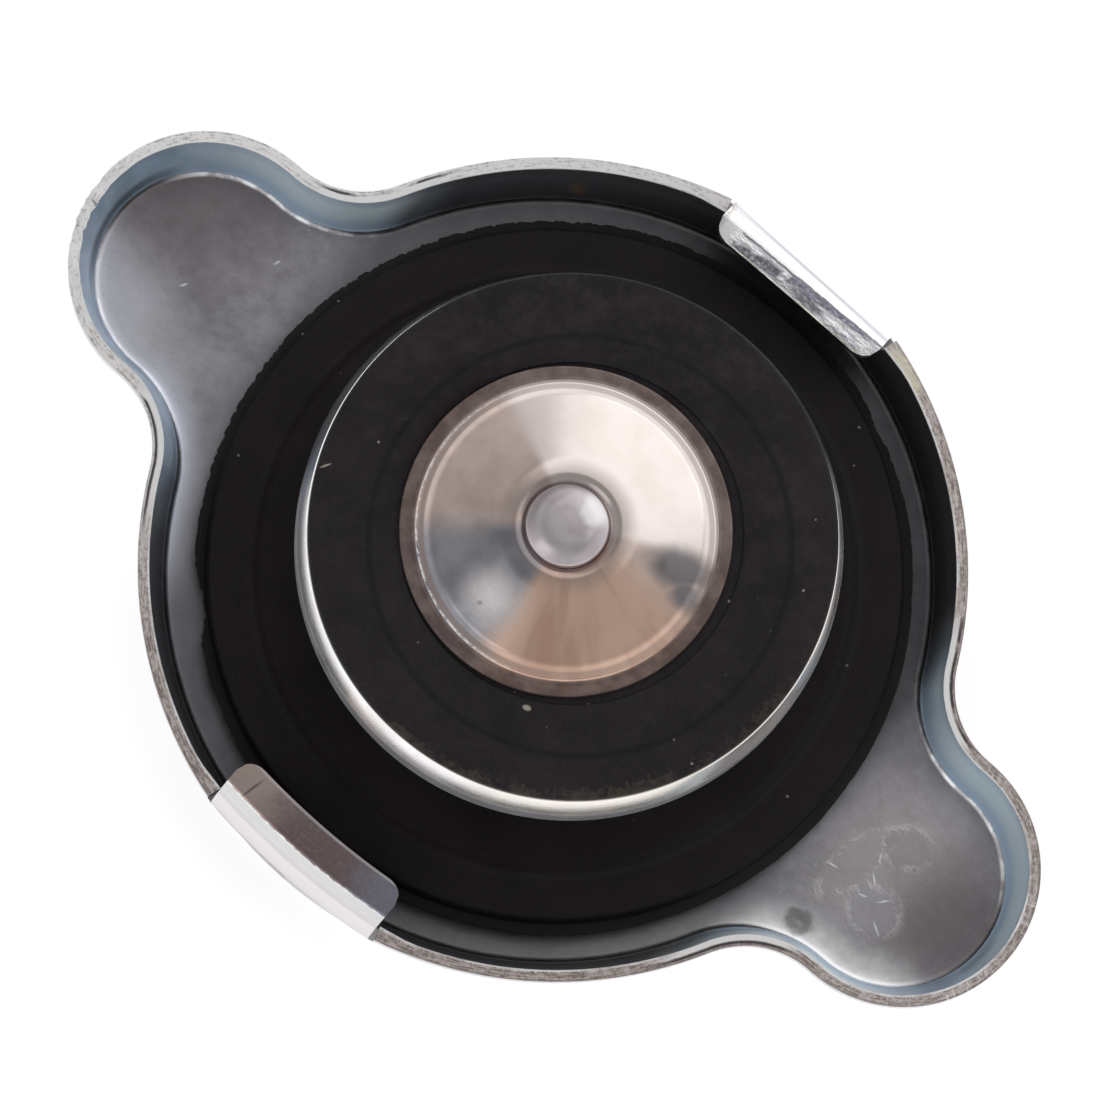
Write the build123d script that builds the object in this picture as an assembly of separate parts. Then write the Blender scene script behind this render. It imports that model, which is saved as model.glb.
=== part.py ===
# A small-head radiator pressure cap, lying on its outer top face with the valve pointing up.
# Z is the axis of the cap, z = 0 is the outer top face, the two finger ears lie on X
# and the two locking tabs on Y. All sizes are in millimetres and degrees.
import math
import os

from build123d import *

# Pressed steel shell
shell_radius = 22.5
shell_sheet = 0.8
skirt_height = 5.4
shell_corner = 1.6
ear_reach = 32.4
ear_radius = 7.5
ear_root_fillet = 5.2
recess_radius = 6.2
recess_depth = 1.0
recess_slope = 1.3
recess_bend = 0.6

# Locking tabs, folded in from the skirt between two torn reliefs each
tab_width = 11.2
tab_reach = 3.5
tab_rise = 1.6
tab_lean = 0.65
tab_bend = 1.1
tab_corner = 1.2
relief_width = 0.3
relief_depth = 1.0

# Running clearances
axial_play = 0.05
turn_clearance = 0.05
slide_clearance = 0.1
seat_clearance = 0.02

# Centre rivet, fast in the shell
rivet_radius = 2.45
rivet_head_radius = 4.2
rivet_head_height = 0.8
rivet_clench_radius = 3.8
rivet_clench_height = 0.9
rivet_edge = 0.35

# Spring-steel friction disc behind the neck gasket
disc_setback = 0.5
disc_sheet = 0.35

# Rubber neck gasket
gasket_thickness = 1.75
gasket_edge = 0.3
gasket_gap = 2.1
flash_width = 0.7
flash_thickness = 0.3
gasket_web = 0.9
seat_gap = 0.5
bead_setback = 2.4
bead_width = 0.5
bead_height = 0.12

# Pressed plate that clamps the gasket and carries the pressure spring
seat_sheet = 0.6
seat_inner_margin = 1.2
seat_slope = 1.0
seat_outer_margin = 2.3
seat_lip = 0.7
seat_bend = 0.45

# Drawn post with the flared lip that stops the pressure valve
post_sheet = 0.5
post_radius = 5.0
post_height = 6.7
post_bend = 0.75
lip_reach = 0.9
vent_radius = 0.9
vent_height = 2.6

# Pressure valve: cup, rubber ring and catch sleeve
pressure_travel = 4.0
lip_headroom = 0.4
sleeve_sheet = 0.5
sleeve_margin = 1.2
sleeve_bend = 0.55
sleeve_curl_bend = 0.3
plate_sheet = 0.5
plate_bend = 0.55
crimp_height = 2.5
crimp_lean = 0.47
crimp_bend = 1.5
crimp_gap = 0.08
port_radius = 0.9
port_circle = 3.7
port_count = 4
seal_radius = 14.05
seal_overlap = 2.5
seal_thickness = 4.9
seal_flange = 0.65
seal_chamfer = 0.25
seal_inner_edge = 0.2
land_depth = 0.15
land_margin = 0.25

# Pressure spring
spring_wire = 1.6
spring_mean_radius = 9.2
spring_turns = 3.5

# Vacuum valve: coned disc, button-headed stem, light spring and retainer
vacuum_sheet = 0.35
vacuum_radius = 8.87
vacuum_rim = 0.85
cone_rise = 2.0
dimple_radius = 3.15
dimple_depth = 0.3
dimple_slope = 0.15
cone_bend = 0.25
stem_radius = 1.25
button_radius = 2.26
button_height = 0.95
retainer_radius = 3.0
retainer_sheet = 0.4
stem_clench_radius = 1.8
stem_clench_height = 0.45
vacuum_wire = 0.3
vacuum_spring_radius = 2.0
vacuum_spring_length = 3.8
vacuum_turns = 5.0

# Levels along Z, stacked from the sizes above
floor_z = shell_sheet
boss_z = recess_depth + shell_sheet
disc_z = boss_z + axial_play
gasket_z = disc_z + disc_sheet
gasket_face_z = gasket_z + gasket_thickness
web_top_z = gasket_z + gasket_web
seat_top_z = web_top_z + seat_sheet
post_z = gasket_z + seat_sheet
post_floor_top_z = post_z + post_sheet
clench_z = post_floor_top_z + axial_play
lip_top_z = post_z + post_height
lip_under_z = lip_top_z - post_sheet
curl_top_z = lip_under_z - axial_play
plate_z = lip_top_z + pressure_travel + lip_headroom
sleeve_flange_z = plate_z - sleeve_sheet
seal_z = plate_z + plate_sheet
seal_face_z = seal_z + seal_thickness
land_z = seal_face_z - land_depth
flange_z = seal_face_z - seal_flange
crimp_top_z = flange_z - crimp_gap
crimp_foot_z = crimp_top_z - crimp_height
vacuum_z = land_z + seat_clearance
retainer_z = plate_z - vacuum_spring_length - retainer_sheet
tab_top_z = skirt_height + tab_rise
relief_z = skirt_height - relief_depth

# Radii that follow from the fits
tab_end = shell_radius - tab_reach
flash_radius = shell_radius - shell_sheet - gasket_gap
gasket_radius = flash_radius - flash_width
bead_radius = gasket_radius - bead_setback
disc_radius = gasket_radius - disc_setback
spring_inner = spring_mean_radius - spring_wire / 2
spring_outer = spring_mean_radius + spring_wire / 2
seat_floor_radius = spring_inner - seat_inner_margin
seat_radius = spring_outer + seat_outer_margin
sleeve_flange_radius = spring_outer + sleeve_margin
gasket_bore = seat_floor_radius + seat_slope + seat_sheet
gasket_step = seat_radius + seat_gap
seal_bore = vacuum_radius - seal_overlap
pivot_bore = rivet_radius + turn_clearance
lip_radius = post_radius + lip_reach
sleeve_bore = lip_radius + slide_clearance
curl_bore = post_radius + slide_clearance
plate_radius = seal_radius + seat_clearance + plate_sheet
guide_bore = stem_radius + slide_clearance


def tube(inner, outer, bottom, top):
    ring = Circle(outer) - Circle(inner) if inner > 0 else Circle(outer)
    return Pos(0, 0, bottom) * extrude(ring, amount=top - bottom)


def turned(face):
    """Revolve a face drawn as (radius, height) about the cap's axis."""
    return revolve(Plane.XZ * face, axis=Axis.Z)


def strip(points, bends, thickness):
    """Section of a pressed sheet: its centre line, bend radii and thickness."""
    return trace(FilletPolyline(*points, radius=bends), line_width=thickness)


def pressed(points, bends, thickness):
    return turned(strip(points, bends, thickness))


def shell_outline(inset):
    """Round shell with two ears, set in from the outer wall by inset: arcs that run into each other."""
    shell, ear, root = shell_radius - inset, ear_radius - inset, ear_root_fillet + inset
    ear_x = ear_reach - ear_radius
    to_shell, to_ear = shell + root, ear + root
    root_x = (to_shell ** 2 - to_ear ** 2 + ear_x ** 2) / (2 * ear_x)
    root_y = math.sqrt(to_shell ** 2 - root_x ** 2)
    shell_angle = math.atan2(root_y, root_x)
    ear_angle = math.atan2(root_y, root_x - ear_x)
    middle_angle = (shell_angle + ear_angle) / 2
    on_shell = Vector(shell * math.cos(shell_angle), shell * math.sin(shell_angle))
    on_ear = Vector(ear_x + ear * math.cos(ear_angle), ear * math.sin(ear_angle))
    on_root = Vector(root_x - root * math.cos(middle_angle), root_y - root * math.sin(middle_angle))
    upper_root = ThreePointArc(on_shell, on_root, on_ear)
    tip = ThreePointArc(on_ear, (ear_x + ear, 0), (on_ear.X, -on_ear.Y))
    side = [upper_root, tip, mirror(upper_root, Plane.XZ)]
    back = ThreePointArc(on_shell, (0, shell), (-on_shell.X, on_shell.Y))
    edges = side + [mirror(edge, Plane.YZ) for edge in side] + [back, mirror(back, Plane.XZ)]
    return make_face(edges)


def pan(inset, bottom, corner):
    block = Pos(0, 0, bottom) * extrude(shell_outline(inset), amount=skirt_height - bottom)
    return fillet(block.edges().group_by(Axis.Z)[0], corner)


def locking_tab():
    """One tab on +Y: it leans in from the skirt and folds over towards the axis."""
    wall_middle = shell_radius - shell_sheet / 2
    fold = (wall_middle - tab_lean, tab_top_z - shell_sheet / 2)
    root = (wall_middle, relief_z - shell_sheet)
    knee = (wall_middle, relief_z)
    end = (tab_end - tab_corner, fold[1])
    section = strip([root, knee, fold, end], [shell_sheet, tab_bend], shell_sheet)
    half_angle = math.degrees(math.asin(tab_width / tab_end))
    swept = Rot(0, 0, 90 - half_angle) * revolve(Plane.XZ * section, Axis.Z, 2 * half_angle)
    blank_depth = shell_radius - tab_end + shell_sheet
    blank = Pos(0, tab_end + blank_depth / 2, 0) * Box(tab_width, blank_depth, 2 * (tab_top_z + shell_sheet))
    tab = swept & blank
    ends = tab.edges().filter_by(Axis.Z).group_by(Axis.Y)[0]
    return fillet(ends, tab_corner)


def cap_shell():
    body = pan(0, 0, shell_corner) - pan(shell_sheet, floor_z, shell_corner - shell_sheet)
    foot = recess_radius + recess_slope
    body -= tube(0, foot + recess_bend, -shell_sheet, 2 * floor_z)
    middle = shell_sheet / 2
    body += pressed([(rivet_radius, boss_z - middle), (recess_radius, boss_z - middle),
                     (foot, middle), (foot + 2 * recess_bend, middle)], recess_bend, shell_sheet)
    opening = tab_width + 2 * relief_width
    wall_band = 2 * shell_sheet
    for turn in (0, 180):
        cut = Pos(0, shell_radius, relief_z + tab_rise) * Box(opening, 2 * wall_band, 2 * tab_rise)
        body -= Rot(0, 0, turn) * cut
        body += Rot(0, 0, turn) * locking_tab()
    return body


def centre_rivet():
    head_z = recess_depth - rivet_head_height
    head = fillet(tube(0, rivet_head_radius, head_z, recess_depth).edges().group_by(Axis.Z)[0], rivet_edge)
    shank = tube(0, rivet_radius, recess_depth, clench_z)
    clench = tube(0, rivet_clench_radius, clench_z, clench_z + rivet_clench_height)
    clench = fillet(clench.edges().group_by(Axis.Z)[-1], rivet_edge)
    return head + shank + clench


def friction_disc():
    return tube(pivot_bore, disc_radius, disc_z, gasket_z)


def neck_gasket():
    section = Polyline((gasket_bore, gasket_z), (flash_radius, gasket_z),
                       (flash_radius, gasket_z + flash_thickness), (gasket_radius, gasket_z + flash_thickness),
                       (gasket_radius, gasket_face_z), (gasket_step, gasket_face_z),
                       (gasket_step, web_top_z), (gasket_bore, web_top_z), close=True)
    face = make_face(section)
    rim = face.vertices().filter_by(lambda corner: corner.Y > web_top_z + gasket_edge)
    face = fillet(rim, gasket_edge)
    bead = Pos(bead_radius, gasket_face_z) * Ellipse(bead_width / 2, bead_height)
    return turned(face + bead)


def spring_seat():
    base = gasket_z + seat_sheet / 2
    flange = web_top_z + seat_sheet / 2
    edge = seat_radius - seat_sheet / 2
    return pressed([(pivot_bore, base), (seat_floor_radius, base), (seat_floor_radius + seat_slope, flange),
                    (edge - seat_lip, flange), (edge, flange + seat_lip)], seat_bend, seat_sheet)


def valve_post():
    wall = post_radius - post_sheet / 2
    body = pressed([(pivot_bore, post_z + post_sheet / 2), (wall, post_z + post_sheet / 2),
                    (wall, lip_top_z - post_sheet / 2), (lip_radius, lip_top_z - post_sheet / 2)],
                   [post_bend, post_sheet / 2 + axial_play], post_sheet)
    vents = Pos(0, 0, post_z + vent_height) * Rot(90, 0, 0) * Cylinder(vent_radius, 3 * post_radius)
    return body - vents - Rot(0, 0, 90) * vents


def coil(mean_radius, wire, bottom, top, turns):
    """Compression spring with closed, ground ends."""
    closed = 0.75
    grind = wire / 4
    low = bottom + wire / 2 - grind
    high = top - wire / 2 + grind
    close_pitch = wire * 1.03
    close_rise = closed * close_pitch
    open_turns = turns - 2 * closed
    open_rise = high - low - 2 * close_rise
    first = Pos(0, 0, low) * Helix(close_pitch, close_rise, mean_radius)
    middle = Pos(0, 0, low + close_rise) * Rot(0, 0, 360 * closed) * Helix(
        open_rise / open_turns, open_rise, mean_radius)
    last = Pos(0, 0, high - close_rise) * Rot(0, 0, 360 * (closed + open_turns)) * Helix(
        close_pitch, close_rise, mean_radius)
    path = Wire([first, middle, last])
    section = Plane(origin=path @ 0, z_dir=path % 0) * Circle(wire / 2)
    body = sweep(section, path=path, is_frenet=True)
    return body & tube(0, mean_radius + wire, bottom, top)


def pressure_spring():
    return coil(spring_mean_radius, spring_wire, seat_top_z, sleeve_flange_z, spring_turns)


def catch_sleeve():
    wall = sleeve_bore + sleeve_sheet / 2
    flange = plate_z - sleeve_sheet / 2
    curl = curl_top_z - sleeve_sheet / 2
    return pressed([(sleeve_flange_radius, flange), (wall, flange), (wall, curl), (curl_bore, curl)],
                   [sleeve_bend, sleeve_curl_bend], sleeve_sheet)


def valve_plate():
    """Cup whose wall leans in at the front, crimped on the rubber ring."""
    wall = plate_radius - plate_sheet / 2
    web = plate_z + plate_sheet / 2
    body = pressed([(guide_bore, web), (wall, web), (wall, crimp_foot_z), (wall - crimp_lean, crimp_top_z)],
                   [plate_bend, crimp_bend], plate_sheet)
    port = Pos(0, 0, plate_z) * Cylinder(port_radius, 4 * plate_sheet)
    ports = PolarLocations(port_circle, port_count)
    return body - [place * port for place in ports]


def pressure_seal():
    """Rubber ring gripped by the crimped cup, with a flange over its edge and a shallow land round its
    bore, on which the vacuum disc lies."""
    land = vacuum_radius + land_margin
    neck = seal_radius - crimp_lean * (flange_z - crimp_foot_z) / crimp_height
    face = make_face(Polyline((seal_bore, seal_z), (seal_radius, seal_z), (seal_radius, crimp_foot_z),
                              (neck, flange_z), (seal_radius, flange_z), (seal_radius, seal_face_z),
                              (land, seal_face_z), (land, land_z), (seal_bore, land_z), close=True))
    back = face.vertices().sort_by_distance((seal_radius, seal_z))[0]
    face = fillet(back, plate_bend)
    front = face.vertices().sort_by_distance((seal_radius, seal_face_z))[0]
    face = chamfer(front, seal_chamfer)
    inner = face.vertices().sort_by_distance((seal_bore, land_z))[0]
    return turned(fillet(inner, seal_inner_edge))


def cone_levels():
    rim = vacuum_z + vacuum_sheet / 2
    return rim, rim + cone_rise, rim + cone_rise - dimple_depth


def vacuum_disc():
    rim, top, dimple = cone_levels()
    return pressed([(vacuum_radius, rim), (vacuum_radius - vacuum_rim, rim), (dimple_radius, top),
                    (dimple_radius - dimple_slope, dimple), (stem_radius, dimple)],
                   [cone_bend, cone_bend, cone_bend / 2], vacuum_sheet)


def vacuum_stem():
    button_z = cone_levels()[2] + vacuum_sheet / 2
    dome_radius = (button_radius ** 2 + button_height ** 2) / (2 * button_height)
    dome = Pos(0, 0, button_z + button_height - dome_radius) * Sphere(dome_radius)
    button = dome & tube(0, button_radius, button_z, button_z + button_height)
    shank = tube(0, stem_radius, retainer_z, button_z)
    clench = tube(0, stem_clench_radius, retainer_z - stem_clench_height, retainer_z)
    clench = fillet(clench.edges().group_by(Axis.Z)[0], stem_clench_height / 2)
    return button + shank + clench


def stem_retainer():
    return tube(stem_radius, retainer_radius, retainer_z, retainer_z + retainer_sheet)


def vacuum_spring():
    return coil(vacuum_spring_radius, vacuum_wire, retainer_z + retainer_sheet, plate_z, vacuum_turns)


nodes = [cap_shell, centre_rivet, friction_disc, neck_gasket, spring_seat, valve_post, pressure_spring,
         catch_sleeve, valve_plate, pressure_seal, vacuum_disc, vacuum_stem, stem_retainer, vacuum_spring]

os.makedirs("parts", exist_ok=True)
for node in nodes:
    export_step(node(), f"parts/{node.__name__}.step")
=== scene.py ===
import math

import bmesh
import bpy
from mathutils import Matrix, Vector, noise


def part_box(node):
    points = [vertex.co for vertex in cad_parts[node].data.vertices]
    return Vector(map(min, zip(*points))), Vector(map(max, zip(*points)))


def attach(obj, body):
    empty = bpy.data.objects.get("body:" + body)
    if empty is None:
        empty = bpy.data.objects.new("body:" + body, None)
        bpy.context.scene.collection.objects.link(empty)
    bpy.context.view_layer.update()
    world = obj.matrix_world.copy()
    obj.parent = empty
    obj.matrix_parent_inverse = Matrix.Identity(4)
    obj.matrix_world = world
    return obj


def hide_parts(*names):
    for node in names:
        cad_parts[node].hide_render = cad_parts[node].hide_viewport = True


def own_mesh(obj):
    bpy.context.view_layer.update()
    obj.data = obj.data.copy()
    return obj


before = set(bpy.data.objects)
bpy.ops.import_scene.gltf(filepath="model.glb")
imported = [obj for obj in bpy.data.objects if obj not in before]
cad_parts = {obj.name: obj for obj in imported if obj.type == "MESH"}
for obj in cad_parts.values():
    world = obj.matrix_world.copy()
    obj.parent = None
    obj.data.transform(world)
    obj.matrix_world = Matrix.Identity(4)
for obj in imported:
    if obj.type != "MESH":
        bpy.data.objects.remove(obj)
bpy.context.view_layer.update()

# A radiator cap lying on its outer face with the valve up. Pieces are drawn in millimetres
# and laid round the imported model, whose sizes come from the boxes of its nodes.
mm = 0.001


def node_top(name):
    """Largest radius and the lowest and highest level of a round node, in millimetres."""
    low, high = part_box(name)
    return high.x / mm, low.z / mm, high.z / mm


# Sizes that the pieces share
_, shell_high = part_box("cap_shell")
shell_radius = shell_high.y / mm
ear_reach = shell_high.x / mm
tab_top = shell_high.z / mm
shell_sheet = 0.8
ear_radius = 7.5
ear_root = 5.2
shell_rim = tab_top - 1.6
relief_bottom = shell_rim - 1.0
tab_width = 11.2
relief_width = 0.3
valve_play = (0.28, -0.02)
disc_play = (-0.16, -0.13)


# Modelling by hand

def start_piece(name):
    """A new piece of one vertex on the cap's axis, open in edit mode."""
    bpy.ops.object.select_all(action="DESELECT")
    bpy.ops.mesh.primitive_plane_add(size=mm, location=(0, 0, 0))
    piece = bpy.context.object
    piece.name = name
    piece.data.name = name
    bpy.ops.object.mode_set(mode="EDIT")
    bpy.ops.mesh.select_mode(type="VERT")
    bpy.ops.mesh.merge(type="CENTER")
    return piece


def move(x, y, z):
    bpy.ops.transform.translate(value=(x * mm, y * mm, z * mm))


def stretch(x, y, z, about):
    bpy.ops.transform.resize(value=(x, y, z), center_override=[c * mm for c in about])


def draw(points, side):
    """Draw a chain of edges through (distance, level) points; side is the axis it runs along."""
    def step(before, after):
        out, up = after[0] - before[0], after[1] - before[1]
        return (out * mm, 0, up * mm) if side == "X" else (0, out * mm, up * mm)
    bpy.ops.transform.translate(value=step((0, 0), points[0]))
    for before, after in zip(points, points[1:]):
        bpy.ops.mesh.extrude_region_move(TRANSFORM_OT_translate={"value": step(before, after)})
    bpy.ops.mesh.select_all(action="SELECT")


def rounded(corners, steps=4):
    """Points of a section whose corners, given as (distance, level, radius), are rounded off."""
    points = [corners[0][:2]]
    for before, corner, after in zip(corners, corners[1:], corners[2:]):
        tip = Vector(corner[:2])
        radius = corner[2] if len(corner) > 2 else 0
        if radius == 0:
            points.append(tuple(tip))
            continue
        towards, onwards = Vector(before[:2]) - tip, Vector(after[:2]) - tip
        towards.normalize()
        onwards.normalize()
        half = towards.angle(onwards) / 2
        reach = radius / math.tan(half)
        middle = tip + (towards + onwards).normalized() * radius / math.sin(half)
        first, last = tip + towards * reach - middle, tip + onwards * reach - middle
        turn = math.atan2(first.x * last.y - first.y * last.x, first.dot(last))
        for i in range(steps + 1):
            angle = turn * i / steps
            cos, sin = math.cos(angle), math.sin(angle)
            points.append((middle.x + first.x * cos - first.y * sin,
                           middle.y + first.x * sin + first.y * cos))
    points.append(corners[-1][:2])
    return points


def sweep(steps, degrees, centre=(0, 0)):
    """Spin what is selected about an upright axis, anticlockwise seen from above."""
    bpy.ops.mesh.spin(steps=steps, angle=-math.radians(degrees), axis=(0, 0, 1),
                      center=(centre[0] * mm, centre[1] * mm, 0), use_auto_merge=False)


def tidy(sharp=35):
    """Merge what meets, turn the faces outwards and leave edit mode with smooth shading."""
    bpy.ops.mesh.select_all(action="SELECT")
    bpy.ops.mesh.remove_doubles(threshold=0.002 * mm)
    bpy.ops.mesh.normals_make_consistent(inside=False)
    bpy.ops.object.mode_set(mode="OBJECT")
    bpy.ops.object.shade_smooth_by_angle(angle=math.radians(sharp))


def turned(name, corners, steps, round_steps=4):
    """A closed section turned about the cap's axis."""
    piece = start_piece(name)
    draw(rounded(corners, round_steps), "X")
    sweep(steps, 360)
    tidy()
    return piece


def pick(piece, kind, test):
    """Select only the verts, edges or faces that pass the test."""
    bpy.ops.mesh.select_mode(type=kind[:-1].upper())
    bpy.ops.mesh.select_all(action="DESELECT")
    mesh = bmesh.from_edit_mesh(piece.data)
    for item in getattr(mesh, kind):
        if test(item):
            item.select_set(True)
    mesh.select_flush_mode()
    bmesh.update_edit_mesh(piece.data)


def choose(piece):
    bpy.ops.object.select_all(action="DESELECT")
    piece.select_set(True)
    bpy.context.view_layer.objects.active = piece


def apply(piece, kind, **settings):
    """Add a modifier and apply it."""
    choose(piece)
    modifier = piece.modifiers.new(kind.lower(), kind)
    for name, value in settings.items():
        setattr(modifier, name, value)
    bpy.ops.object.modifier_apply(modifier=modifier.name)


def radius_of(point):
    return math.hypot(point.x, point.y) / mm


# Pressed shell

wall_draft = 0.7
inner_corner = 0.5
inner_lean = 0.62
outer_corner = 1.6
rim_round = 0.18
corner_pull = 1.2

# Centre of an ear's end, and of the arc at its root, which touches the ear and the shell
ear_x = ear_reach - ear_radius
to_shell, to_ear = shell_radius + ear_root, ear_radius + ear_root
root_x = (to_shell ** 2 - to_ear ** 2 + ear_x ** 2) / (2 * ear_x)
root_y = math.sqrt(to_shell ** 2 - root_x ** 2)


def shell_wall(piece):
    """One quarter of the wall: its section is spun round the shell, the ear's root and the ear."""
    inside = shell_radius - shell_sheet
    foot = inside - inner_lean - inner_corner - 0.6
    section = rounded([(foot, shell_sheet), (foot + 0.3, shell_sheet),
                       (inside - inner_lean, shell_sheet, inner_corner),
                       (inside - inner_lean * 0.45, 2.6), (inside - 0.03, relief_bottom - 0.5),
                       (inside, relief_bottom), (shell_radius, relief_bottom),
                       (shell_radius - wall_draft * 0.4, 2.8),
                       (shell_radius - wall_draft, 0, outer_corner), (foot + 0.3, 0),
                       (foot, 0)], steps=6)
    draw(section, "Y")
    shell_angle = math.degrees(math.atan2(root_y, root_x))
    ear_angle = math.degrees(math.atan2(root_y, root_x - ear_x))

    def half_angle(width):
        return math.degrees(math.asin(width / 2 / shell_radius))

    stops = [0, half_angle(tab_width - 2 * corner_pull), half_angle(tab_width),
             half_angle(tab_width + 2 * relief_width), 90 - shell_angle]
    for before, after, steps in zip(stops, stops[1:], (8, 6, 1, 24)):
        sweep(steps, before - after)
    sweep(20, ear_angle - shell_angle, (root_x, root_y))
    sweep(40, -ear_angle, (ear_x, 0))


# Centre line of each locking tab's sheet, as (distance from the axis, level, corner radius):
# up the wall, over the bend, across the crease and along the flat to its end.
half_sheet = shell_sheet / 2
wall_middle = shell_radius - half_sheet
upper_fold = [(wall_middle, relief_bottom + 0.4), (wall_middle, 4.95, 0.5),
              (shell_radius - 0.6, 6.26, 0.6), (shell_radius - 1.3, 6.6, 0.2),
              (shell_radius - 2.4, 6.54)]
lower_fold = [(wall_middle, relief_bottom + 0.4), (wall_middle, 5.05, 0.8),
              (shell_radius - 0.72, 6.1, 0.7), (shell_radius - 1.45, 6.58, 0.35),
              (shell_radius - 3.1, 6.6)]


def fold_sections(corners):
    """Outer and inner edge of a locking tab's section, row by row from the rim to its end."""
    line = rounded(corners, steps=5)[1:]
    rows = []
    for before, here, after in zip(line, line[1:], line[2:] + [line[-1]]):
        along = (Vector(after) - Vector(before)).normalized()
        out = Vector((along.y, -along.x)) * half_sheet
        rows.append((Vector(here) + out, Vector(here) - out))
    return [row for row in rows if row[0].y > shell_rim]


def straighten_wall(piece, side, share):
    """Under a locking tab the press flattened the wall; share is how much of its curve is gone."""
    mesh = bmesh.from_edit_mesh(piece.data)
    for v in mesh.verts:
        x, y, z = v.co / mm
        radius = radius_of(v.co)
        if abs(x) > tab_width / 2 + 0.01 or y * side < 20 or z < 1:
            continue
        rise = min(1, (z - 1) / (relief_bottom - 1))
        chord = math.sqrt(radius ** 2 - (tab_width / 2) ** 2)
        v.co.y -= (abs(y) - chord) * side * share * rise * rise * (3 - 2 * rise) * mm
    bmesh.update_edit_mesh(piece.data)


def fold_tab(piece, side, corners, straight, flatten):
    """Pull one locking tab up from the rim between its reliefs, lean it in and fold it flat."""
    def on_tab(face):
        middle = face.calc_center_median() / mm
        return (abs(middle.z - shell_rim) < 0.01 and abs(middle.x) < tab_width / 2
                and middle.y * side > 0 and face.normal.z > 0.9)

    pick(piece, "faces", on_tab)
    outer_y, inner_y = shell_radius, shell_radius - shell_sheet
    level = Vector((shell_rim, shell_rim))
    flat = straight
    for number, (outer, inner) in enumerate(fold_sections(corners)):
        bpy.ops.mesh.extrude_region_move()
        mesh = bmesh.from_edit_mesh(piece.data)
        skin = mesh.verts.layers.int["skin"]
        flatter = straight + (flatten - straight) * min(1, (number + 1) / 3)
        row = [v.index for v in mesh.verts if v.select]
        faces = [f.index for f in mesh.faces if f.select]
        for which, target, y, z in ((1, outer, outer_y, level[0]), (0, inner, inner_y, level[1])):
            own = {v.index for v in mesh.verts if v.select and v[skin] == which}
            pick(piece, "verts", lambda v: v.index in own)
            mesh = bmesh.from_edit_mesh(piece.data)
            mesh.verts.ensure_lookup_table()
            skin = mesh.verts.layers.int["skin"]
            edge_y = min(abs(mesh.verts[i].co.y) for i in own) / mm * side
            stretch(1, (1 - flatter) / (1 - flat), 1, (0, edge_y, 0))
            move(0, (target.x - y) * side, target.y - z)
            mesh = bmesh.from_edit_mesh(piece.data)
            mesh.verts.ensure_lookup_table()
            skin = mesh.verts.layers.int["skin"]
            for i in row:
                mesh.verts[i].select_set(True)
        outer_y, inner_y, level = outer.x, inner.x, Vector((outer.y, inner.y))
        flat = flatter
        chosen = set(faces)
        pick(piece, "faces", lambda f: f.index in chosen)
    round_off(piece, side)


def round_off(piece, side):
    """Pull the two corners of the tab's end back into an arc."""
    mesh = bmesh.from_edit_mesh(piece.data)
    straight = tab_width / 2 - corner_pull
    for v in mesh.verts:
        past = abs(v.co.x) / mm - straight
        if v.select and past > 0:
            back = corner_pull - math.sqrt(max(0, corner_pull ** 2 - past ** 2))
            v.co.y += 0.9 * back * side * mm
    bmesh.update_edit_mesh(piece.data)


def cap_shell():
    piece = start_piece("shell_pressing")
    shell_wall(piece)
    bmesh.from_edit_mesh(piece.data).verts.layers.int.new("skin")
    bmesh.update_edit_mesh(piece.data)
    bpy.ops.object.mode_set(mode="OBJECT")
    apply(piece, "MIRROR", use_axis=(True, True, False), use_clip=True, merge_threshold=0.01 * mm)
    choose(piece)
    bpy.ops.object.mode_set(mode="EDIT")
    bpy.ops.mesh.select_all(action="SELECT")
    bpy.ops.mesh.remove_doubles(threshold=0.005 * mm)
    bpy.ops.mesh.normals_make_consistent(inside=False)
    mark_outer_skin(piece)
    raise_rim(piece)
    straighten_wall(piece, 1, 0.85)
    straighten_wall(piece, -1, 0.45)
    fold_tab(piece, 1, upper_fold, straight=0.85, flatten=0.92)
    fold_tab(piece, -1, lower_fold, straight=0.45, flatten=0.5)
    close_floor(piece)
    tidy()
    apply(piece, "BEVEL", width=rim_round * mm, segments=3, limit_method="ANGLE",
          angle_limit=math.radians(50), harden_normals=False)
    mark_across(piece)
    thin_rim(piece)
    chip_rim(piece)
    return piece


def outwards(x, y):
    """How far a point lies outside the inner wall's outline, in millimetres."""
    x, y = abs(x), abs(y)
    out_x, out_y = x - root_x, y - root_y
    past_shell = out_x * root_y - out_y * root_x
    past_ear = out_x * root_y - out_y * (root_x - ear_x)
    if past_shell > 0 and past_ear < 0:
        return ear_root + shell_sheet - math.hypot(out_x, out_y)
    if past_shell <= 0:
        return math.hypot(x, y) - shell_radius + shell_sheet
    return math.hypot(x - ear_x, y) - ear_radius + shell_sheet


def mark_across(piece):
    """Note on each point how far it is through the sheet: 0 on the inner side, 1 on the outer."""
    across = piece.data.attributes.new("across", "FLOAT", "POINT")
    for v, mark in zip(piece.data.vertices, across.data):
        x, y, z = v.co / mm
        through = outwards(x, y) / shell_sheet if z > shell_sheet - 0.01 else 1.0
        mark.value = min(1.0, max(0.0, through))


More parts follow.
